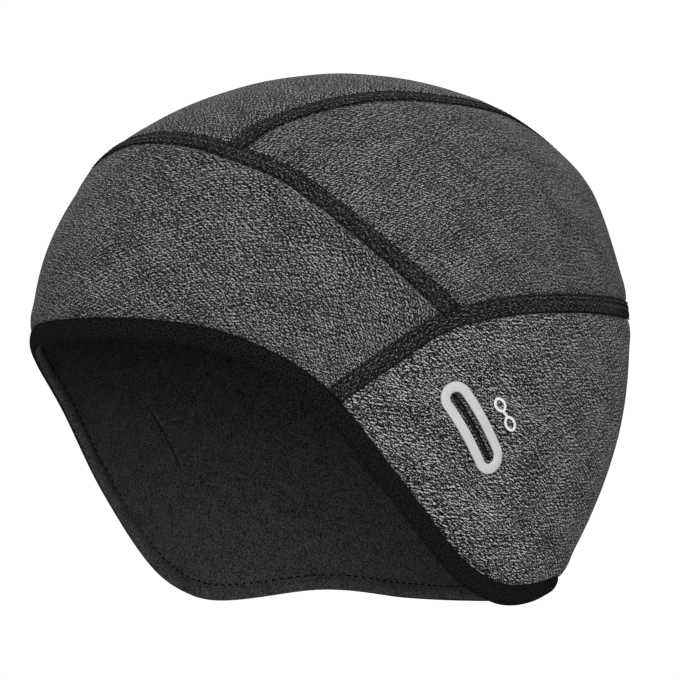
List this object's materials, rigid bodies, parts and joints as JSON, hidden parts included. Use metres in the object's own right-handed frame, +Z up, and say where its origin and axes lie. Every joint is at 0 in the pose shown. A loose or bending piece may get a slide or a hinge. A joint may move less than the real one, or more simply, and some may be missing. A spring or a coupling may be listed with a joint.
{
  "type": "helmet liner cap with ear flaps",
  "caption": "Close fitting panelled skull cap for wear under a helmet: heather knit outside, black fleece inside, ear flaps, bound hem and slots for glasses.",
  "frame": {"origin": "where the top of the head touches the inside of the crown, on the cap's middle plane", "axes": "+Z up along the head, the wearer looks along -Y, +X is the wearer's left ear"},
  "size_m": [0.1666, 0.1968, 0.1645],
  "materials": {
    "grey_knit": "heather jersey knit, matt, light and dark dashes",
    "black_knit": "matt black stretch knit, overstitched seams and bound hem",
    "black_fleece": "short napped black fleece",
    "grey_rubber": "light grey smooth print, slightly glossy"
  },
  "bodies": {
    "root": {"front_panel": "grey_knit", "crown_centre_panel": "grey_knit", "crown_side_panel_left": "grey_knit", "crown_side_panel_right": "grey_knit", "ear_and_nape_panel": "grey_knit", "front_seam": "black_knit", "crown_seam_left": "black_knit", "crown_seam_right": "black_knit", "side_and_back_seam": "black_knit", "hem_band": "black_knit", "fleece_lining": "black_fleece", "glasses_slot_ring_left": "grey_rubber", "glasses_slot_ring_right": "grey_rubber"}
  },
  "joints": []
}
